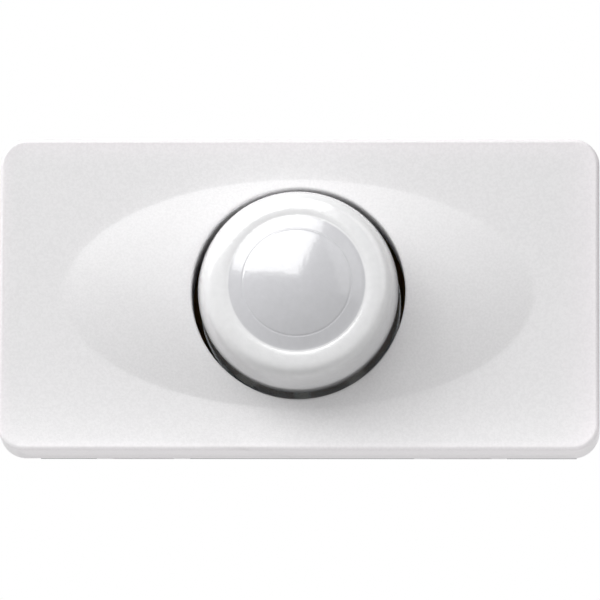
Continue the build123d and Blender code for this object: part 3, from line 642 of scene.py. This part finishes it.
def lacquered_abs(knob):
    """White ABS under clear lacquer, with a slightly greyer disc in the middle. The lacquer
    mirrors the window crisply over the plastic's soft sheen, and its faint orange peel
    breaks the edges of the highlight."""
    tone = (*knob.tone, 1.0)
    material, tree, shader = new_material(
        "abs_clear_lacquered",
        tone,
        knob.gloss,
        Coat_Weight=1.0,
        Coat_Roughness=knob.lacquer,
        Coat_IOR=2.0,  # high, so that the window's highlight is as bright as in the photo
    )
    disc = add_node(tree, "ShaderNodeAttribute", attribute_name="disc").outputs["Fac"]
    two_tone = add_node(
        tree,
        "ShaderNodeMix",
        {"Factor": disc, 6: tone, 7: (*knob.disc_tone, 1.0)},
        data_type="RGBA",
    ).outputs[2]
    haze = add_node(
        tree,
        "ShaderNodeMapRange",
        {"Value": pattern(tree, 0.5 * MM, 4.0), "To Min": 0.94, "To Max": 1.06},
    ).outputs["Result"]
    add_node(
        tree,
        "ShaderNodeVectorMath",
        {0: two_tone, "Scale": haze},
        to=shader.inputs["Base Color"],
        operation="SCALE",
    )
    wear = pattern(tree, 0.9 * MM, 4.0)
    add_node(
        tree,
        "ShaderNodeMapRange",
        {"Value": wear, "To Min": knob.gloss * 0.9, "To Max": knob.gloss * 1.15},
        to=shader.inputs["Roughness"],
    )
    peel = pattern(tree, 0.3 * MM, 3.0)
    relief = {"Height": peel, "Distance": 0.008 * MM}
    add_node(tree, "ShaderNodeBump", relief, to=shader.inputs["Normal"])
    add_node(tree, "ShaderNodeBump", relief, to=shader.inputs["Coat Normal"])
    return material


def glass_filled_polyamide():
    """Grey glass-filled polyamide, moulded: satin, with a faint swirl from the fibres."""
    tone = linear("#8E9092")
    material, tree, shader = new_material("polyamide_glass_filled", tone, 0.5)
    vary(tree, shader, tone, 0.05, pattern(tree, 1.2 * MM, 5.0, (1.0, 0.25, 1.0)))
    add_node(
        tree,
        "ShaderNodeBump",
        {"Height": pattern(tree, 0.12 * MM, 3.0), "Distance": 0.01 * MM, "Strength": 0.7},
        to=shader.inputs["Normal"],
    )
    return material


def moulded(name, hex_tone, roughness, grain, depth, mottle=0.04):
    """A moulded or lacquered solid colour with grain of a real size."""
    tone = linear(hex_tone)
    material, tree, shader = new_material(name, tone, roughness)
    vary(tree, shader, tone, mottle, pattern(tree, 8 * grain))
    add_node(
        tree,
        "ShaderNodeBump",
        {"Height": pattern(tree, grain, 3.0), "Distance": depth, "Strength": 0.7},
        to=shader.inputs["Normal"],
    )
    return material


def metal(name, hex_tone, roughness, stretch=(1.0, 1.0, 1.0), grain=0.08 * MM):
    """Bare or plated metal: grain drawn out along the working direction."""
    tone = linear(hex_tone)
    material, tree, shader = new_material(name, tone, roughness, 1.0)
    lines = pattern(tree, grain, 3.0, stretch)
    vary(tree, shader, tone, 0.06, pattern(tree, 1.5 * MM, 3.0))
    add_node(
        tree,
        "ShaderNodeMapRange",
        {"Value": lines, "To Min": roughness * 0.75, "To Max": min(roughness * 1.3, 1.0)},
        to=shader.inputs["Roughness"],
    )
    add_node(
        tree,
        "ShaderNodeBump",
        {"Height": lines, "Distance": 0.003 * MM, "Strength": 0.6},
        to=shader.inputs["Normal"],
    )
    return material


def paper_laminate():
    """Phenolic paper board: tan, with the paper's fibres showing in the resin."""
    tone = linear("#B58A4A")
    material, tree, shader = new_material("phenolic_paper_board", tone, 0.45)
    vary(tree, shader, tone, 0.12, pattern(tree, 0.5 * MM, 5.0, (1.0, 1.0, 0.3)))
    add_node(
        tree,
        "ShaderNodeBump",
        {"Height": pattern(tree, 0.2 * MM), "Distance": 0.004 * MM},
        to=shader.inputs["Normal"],
    )
    return material


def wound_copper():
    """Enamelled copper wire wound on the drum: turns 0.6 mm apart along Y, each painted darker in
    its groove and lighter on its crown, as painted shade and light.
    """
    pitch = 0.6 * MM
    tone = linear("#A2521F")
    material, tree, shader = new_material("copper_enamelled_wire", tone, 0.3, 1.0)
    place = add_node(tree, "ShaderNodeTexCoord").outputs["Object"]
    turns = add_node(
        tree,
        "ShaderNodeTexWave",
        # The wave repeats every 2 pi / 20 of a metre at a scale of 1
        {"Vector": place, "Scale": 2 * pi / (20 * pitch), "Distortion": 0.0},
        bands_direction="Y",
    )
    # Painted shade and light: darker in the grooves between turns, lighter on their crowns.
    vary(tree, shader, tone, 0.25, turns.outputs["Fac"])
    add_node(
        tree,
        "ShaderNodeBump",
        {"Height": turns.outputs["Fac"], "Distance": 0.15 * MM},
        to=shader.inputs["Normal"],
    )
    return material


def dress(material, *nodes):
    """Gives carried-over nodes one material."""
    for name in nodes:
        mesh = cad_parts[name].data
        mesh.materials.clear()
        mesh.materials.append(material)


# Operators


class DIMMER_OT_cap(bpy.types.Operator):
    """Makes the cap with its oval swelling, smooth border, snap tabs and posts."""

    bl_idname = "dimmer.cap"
    bl_label = "Cap"

    def execute(self, context):
        cap = settings("cap")
        grids = [cap_grid(cap)]
        tab_low = housing_high[2] - cap.tab_inset
        tab_high = tab_low + cap.tab_wall
        tip = cap.post_radius - cap.post_bevel
        post_radius = [0, cap.post_radius, cap.post_radius, tip, 0]
        post_y = [
            cap.post_front, cap.post_front, cap.post_back - cap.post_bevel,
            cap.post_back, cap.post_back,
        ]
        for side_x in (-1, 1):
            for side_z in (-1, 1):
                z = sorted((side_z * tab_low, side_z * tab_high))
                x = side_x * cap.tab_place
                half, catch = cap.tab_width / 2, cap.catch_width / 2
                grids.append(window_grid(
                    (x - half, cap.tab_front, z[0]), (x + half, cap.tab_back, z[1]),
                    (x - catch, cap.catch_front), (x + catch, cap.catch_back), SMALL_BEVEL,
                ))
                post = (side_x * cap.post_place, side_z * (housing_high[2] - cap.post_inset))
                grids.append(turned_grid(post_radius, post_y, POST_STEPS, post))
        border = np.concatenate([border_share(grid, cap).ravel() for grid in grids])
        piece = make_piece("cap", grids, eroded_abs(cap), "base", "white_cover", border=border)
        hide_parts("front_cover")
        return {"FINISHED"}


class DIMMER_OT_knob(bpy.types.Operator):
    """Makes the hollow knob with its dome, ring, hub and ribs."""

    bl_idname = "dimmer.knob"
    bl_label = "Knob"

    def execute(self, context):
        knob = settings("knob")
        grids = knob_grids(knob)
        points = np.concatenate([grid.reshape(-1, 3) for grid in grids])
        reach = np.hypot(points[:, 0], points[:, 2])
        disc_radius = knob_high[0] - knob.shoulder_width - knob.ring_width
        disc = np.clip((disc_radius - reach) / SMALL_BEVEL + 0.5, 0, 1)
        piece = make_piece(
            "turning_knob", grids, lacquered_abs(knob), "dial", "white_knob", sharp=50.0, disc=disc
        )
        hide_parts("knob")
        return {"FINISHED"}


class DIMMER_OT_housing(bpy.types.Operator):
    """Finishes the moulded housing."""

    bl_idname = "dimmer.housing"
    bl_label = "Housing"

    def execute(self, context):
        dress(glass_filled_polyamide(), "rear_housing", "rear_plate")
        return {"FINISHED"}


class DIMMER_OT_potentiometer(bpy.types.Operator):
    """Finishes the shaft and the potentiometer."""

    bl_idname = "dimmer.potentiometer"
    bl_label = "Potentiometer"

    def execute(self, context):
        # Zinc, pressure die-cast: dull grey with a soft sheen
        dress(metal("zinc_die_cast", "#A9AAAD", 0.42), "pot_bushing", "shaft")
        # Cold-rolled steel, zinc plated: bright, slightly blue
        dress(metal("steel_zinc_plated", "#C3C6C8", 0.28), "pot_can", "shaft_clip")
        # Carbon ink, screen printed: black and dry
        ink = moulded("carbon_ink_printed", "#161616", 0.7, 0.1 * MM, 0.003 * MM)
        dress(ink, "carbon_track")
        # Phenolic paper, punched: brown
        wafer = moulded("phenolic_paper_punched", "#7A4A22", 0.5, 0.2 * MM, 0.005 * MM)
        dress(wafer, "pot_wafer")
        # Brass, tinned: pale and soft-shining
        dress(metal("brass_tinned", "#C9C6BC", 0.3), "pot_tags")
        # Acetal, moulded: milky, waxy
        dress(moulded("acetal_moulded", "#D9D2BE", 0.35, 0.15 * MM, 0.003 * MM), "pot_rotor")
        # Phosphor bronze strip, rolled
        dress(metal("phosphor_bronze_rolled", "#B98556", 0.25, (0.1, 1.0, 1.0)), "pot_wiper")
        return {"FINISHED"}


class DIMMER_OT_terminals(bpy.types.Operator):
    """Finishes the wire terminals."""

    bl_idname = "dimmer.terminals"
    bl_label = "Terminals"

    def execute(self, context):
        # Brass strip, folded: yellow, drawn along Y
        brass = metal("brass_folded_strip", "#C9A354", 0.3, (1.0, 0.1, 1.0))
        dress(brass, "terminal_cage_left", "terminal_cage_right")
        # Steel, zinc plated and yellow passivated: a faint straw tint
        steel = metal("steel_yellow_passivated", "#C8BE9E", 0.3)
        for part in ("clamp_plate", "terminal_screw"):
            dress(steel, part + "_left", part + "_right")
        return {"FINISHED"}


class DIMMER_OT_board(bpy.types.Operator):
    """Finishes the circuit board and what stands on it."""

    bl_idname = "dimmer.board"
    bl_label = "Board and components"

    def execute(self, context):
        dress(paper_laminate(), "circuit_board")
        # Aluminium sheet, rolled and bent: lines along X
        dress(metal("aluminium_rolled", "#CBCDD0", 0.32, (0.08, 1.0, 1.0)), "heat_sink")
        # Silicone sheet, calendered: grey and soft
        pad = moulded("silicone_calendered", "#8F969B", 0.7, 0.1 * MM, 0.002 * MM)
        dress(pad, "insulating_pad")
        # Epoxy, transfer moulded: black, satin
        package = moulded("epoxy_transfer_moulded", "#1B1B1D", 0.45, 0.1 * MM, 0.006 * MM)
        dress(package, "triac_body")
        dress(metal("copper_tinned_leads", "#C4C2BA", 0.3), "triac_leads")
        dress(metal("steel_pan_head", "#BDBFC0", 0.3), "triac_screw")
        # Ferrite, sintered: charcoal, dry
        dress(moulded("ferrite_sintered", "#2A2A2D", 0.6, 0.15 * MM, 0.01 * MM), "choke_core")
        dress(wound_copper(), "choke_winding")
        # Polypropylene film in a moulded box: yellow
        film_box = moulded("film_box_moulded", "#D9A521", 0.35, 0.12 * MM, 0.004 * MM)
        dress(film_box, "film_capacitor")
        # Film, dipped in epoxy: brick red
        dipped = moulded("epoxy_dipped", "#8C2A1A", 0.2, 0.6 * MM, 0.01 * MM)
        dress(dipped, "timing_capacitor")
        # Phenolic, compression moulded: dark brown
        dress(moulded("phenolic_moulded", "#3B2418", 0.35, 0.15 * MM, 0.004 * MM), "fuse")
        # Carbon film resistors, lacquered: beige
        lacquer = moulded("resistor_lacquer", "#C9AE7C", 0.3, 0.3 * MM, 0.004 * MM)
        dress(lacquer, "charge_resistor", "snubber_resistor")
        # Glass diode, lacquered: blue
        blue = moulded("diode_lacquer", "#2F5FA0", 0.2, 0.3 * MM, 0.003 * MM)
        dress(blue, "trigger_diac")
        return {"FINISHED"}


def floor_material(stage):
    """Pale floor that mirrors see as plain white. It catches light and shadow on its upper
    side. From below it hides nothing, but it is plain white under the housing, which the
    photograph doesn't show below the cap.
    The light that it gives back to other things is painted bounce light: it glows with a set
    strength whatever falls on it, less before the cap's face than under the cap and knob."""
    material, tree, shader = new_material("floor_pale", (*stage.floor_tone, 1.0), 0.9)
    paths = add_node(tree, "ShaderNodeLightPath")
    place = add_node(
        tree,
        "ShaderNodeSeparateXYZ",
        {"Vector": add_node(tree, "ShaderNodeTexCoord").outputs["Object"]},
    )
    depth = cad_box[1][1] / 2
    along = add_node(
        tree,
        "ShaderNodeMath",
        {0: place.outputs["X"], 1: 0.0, 2: cad_box[1][0]},
        operation="COMPARE",
    )
    deep = add_node(
        tree, "ShaderNodeMath", {0: place.outputs["Y"], 1: depth, 2: depth}, operation="COMPARE"
    )
    under = add_node(
        tree, "ShaderNodeMath", {0: along.outputs[0], 1: deep.outputs[0]}, operation="MULTIPLY"
    )
    near = add_node(
        tree,
        "ShaderNodeMath",
        {0: place.outputs["Y"], 1: -stage.near_floor},
        operation="GREATER_THAN",
    )
    bounce = add_node(
        tree,
        "ShaderNodeMapRange",
        {"Value": near.outputs[0], "To Min": stage.bounce_front, "To Max": stage.bounce_back},
    )
    white = add_node(tree, "ShaderNodeEmission", {"Color": (1, 1, 1, 1), "Strength": 1.0})
    # Painted bounce light: the floor glows with a set strength for light that other things gather
    # from it.
    glow = add_node(
        tree, "ShaderNodeEmission", {"Color": (1, 1, 1, 1), "Strength": bounce.outputs[0]}
    )
    clear = add_node(tree, "ShaderNodeBsdfTransparent")
    mirrored = add_node(
        tree,
        "ShaderNodeMath",
        {0: paths.outputs["Is Glossy Ray"], 1: paths.outputs["Is Transmission Ray"]},
        operation="ADD",
        use_clamp=True,
    )
    below = add_node(
        tree,
        "ShaderNodeMath",
        {
            0: paths.outputs["Is Camera Ray"],
            1: add_node(tree, "ShaderNodeNewGeometry").outputs["Backfacing"],
        },
        operation="MULTIPLY",
    )
    underside = add_node(
        tree,
        "ShaderNodeMixShader",
        {0: under.outputs[0], 1: clear.outputs[0], 2: white.outputs[0]},
    )
    mix = shader
    for share, other in (
        (paths.outputs["Is Diffuse Ray"], glow),
        (mirrored.outputs[0], white),
        (below.outputs[0], underside),
    ):
        mix = add_node(
            tree, "ShaderNodeMixShader", {0: share, 1: mix.outputs[0], 2: other.outputs[0]}
        )
    tree.links.new(mix.outputs[0], tree.nodes["Material Output"].inputs["Surface"])
    return material


def direction(azimuth, elevation):
    """Unit vector from the module towards a place: azimuth 0 is straight in front."""
    return Vector((
        sin(azimuth) * cos(elevation), -cos(azimuth) * cos(elevation), sin(elevation)))


def softbox(name, azimuth, elevation, distance, width, height, watts):
    """A rectangular area light that faces the module from a direction."""
    lamp = bpy.data.lights.new(name, "AREA")
    lamp.shape = "RECTANGLE"
    lamp.size = width
    lamp.size_y = height
    lamp.energy = watts
    holder = bpy.data.objects.new(name, lamp)
    towards = direction(radians(azimuth), radians(elevation))
    holder.location = towards * distance
    holder.rotation_mode = "QUATERNION"
    holder.rotation_quaternion = towards.to_track_quat("Z", "Y")
    bpy.context.scene.collection.objects.link(holder)
    return holder


def place_floor(stage):
    """A square floor just under the module."""
    reach = stage.floor_size
    top = cad_box[0][2] - FLOOR_GAP
    signs = ((-1, -1), (1, -1), (1, 1), (-1, 1))
    corners = [(x * reach, y * reach, top) for x, y in signs]
    mesh = bpy.data.meshes.new("floor")
    mesh.from_pydata(corners, [], [(0, 1, 2, 3)])
    mesh.materials.append(floor_material(stage))
    floor = bpy.data.objects.new("floor", mesh)
    bpy.context.scene.collection.objects.link(floor)


def white_surroundings(stage):
    """A world that lights softly, and that the camera, mirrors and glass see as white."""
    world = bpy.data.worlds.new("white_surroundings")
    bpy.context.scene.world = world
    world.use_nodes = True
    tree = world.node_tree
    tree.nodes.clear()
    paths = add_node(tree, "ShaderNodeLightPath")
    plain = {"Color": (1, 1, 1, 1), "Strength": stage.lighting}
    lighting = add_node(tree, "ShaderNodeBackground", plain)
    white = add_node(tree, "ShaderNodeBackground", {"Color": (1, 1, 1, 1), "Strength": 1.0})
    seen = paths.outputs["Is Camera Ray"]
    for kind in ("Is Glossy Ray", "Is Transmission Ray"):
        seen = add_node(
            tree, "ShaderNodeMath", {0: seen, 1: paths.outputs[kind]}, operation="MAXIMUM"
        ).outputs[0]
    shown = {0: seen, 1: lighting.outputs[0], 2: white.outputs[0]}
    mix = add_node(tree, "ShaderNodeMixShader", shown)
    add_node(tree, "ShaderNodeOutputWorld", {"Surface": mix.outputs[0]})


def place_camera(stage):
    """A camera at the photograph's angle, turned a little about its line of sight."""
    camera = bpy.data.cameras.new("camera")
    camera.sensor_width = SENSOR
    camera.lens = SENSOR * stage.distance / stage.view_width
    camera.clip_start = 0.01
    camera.clip_end = 20.0
    holder = bpy.data.objects.new("camera", camera)
    towards = direction(stage.azimuth, stage.elevation)
    holder.location = Vector((stage.aim_x, 0.0, stage.aim_z)) + towards * stage.distance
    holder.rotation_mode = "QUATERNION"
    roll = Quaternion((0.0, 0.0, 1.0), stage.roll)
    holder.rotation_quaternion = towards.to_track_quat("Z", "Y") @ roll
    bpy.context.scene.collection.objects.link(holder)
    bpy.context.scene.camera = holder


class DIMMER_OT_stage(bpy.types.Operator):
    """Makes the floor, lights, white surroundings and camera."""

    bl_idname = "dimmer.stage"
    bl_label = "Stage"

    def execute(self, context):
        stage = settings("stage")
        context.scene.view_settings.view_transform = "Standard"
        place_floor(stage)
        white_surroundings(stage)
        distance = stage.lamp_distance
        softbox("window_softbox", -35, 38, distance, 0.84, 0.46, stage.window_watts)
        key = softbox("key_softbox", -62, 38, distance, 0.35, 0.35, stage.key_watts)
        key.visible_glossy = False
        softbox("fill_softbox", 50, 25, distance, 0.5, 0.5, stage.fill_watts)
        place_camera(stage)
        return {"FINISHED"}


STEPS = ("cap", "knob", "housing", "potentiometer", "terminals", "board", "stage")


class DIMMER_PT_panel(bpy.types.Panel):
    """Lists the steps that dress the dimmer."""

    bl_idname = "DIMMER_PT_panel"
    bl_label = "Dimmer module"
    bl_space_type = "VIEW_3D"
    bl_region_type = "UI"
    bl_category = "Dimmer"

    def draw(self, context):
        for step in STEPS:
            self.layout.operator("dimmer." + step)
        for kind in ("cap", "knob", "stage"):
            group = getattr(context.scene, "dimmer_" + kind)
            box = self.layout.box()
            for name in group.bl_rna.properties.keys():
                if name not in ("rna_type", "name"):
                    box.prop(group, name)


CLASSES = (
    CapSettings,
    KnobSettings,
    StageSettings,
    DIMMER_OT_cap,
    DIMMER_OT_knob,
    DIMMER_OT_housing,
    DIMMER_OT_potentiometer,
    DIMMER_OT_terminals,
    DIMMER_OT_board,
    DIMMER_OT_stage,
    DIMMER_PT_panel,
)


def register():
    """Adds the classes and the three groups of values."""
    for kind in CLASSES:
        bpy.utils.register_class(kind)
    bpy.types.Scene.dimmer_cap = bpy.props.PointerProperty(type=CapSettings)
    bpy.types.Scene.dimmer_knob = bpy.props.PointerProperty(type=KnobSettings)
    bpy.types.Scene.dimmer_stage = bpy.props.PointerProperty(type=StageSettings)


def unregister():
    """Takes them away again."""
    del bpy.types.Scene.dimmer_cap
    del bpy.types.Scene.dimmer_knob
    del bpy.types.Scene.dimmer_stage
    for kind in reversed(CLASSES):
        bpy.utils.unregister_class(kind)


def main():
    """Runs every step."""
    register()
    for step in STEPS:
        getattr(bpy.ops.dimmer, step)()


if __name__ == "__main__":
    main()
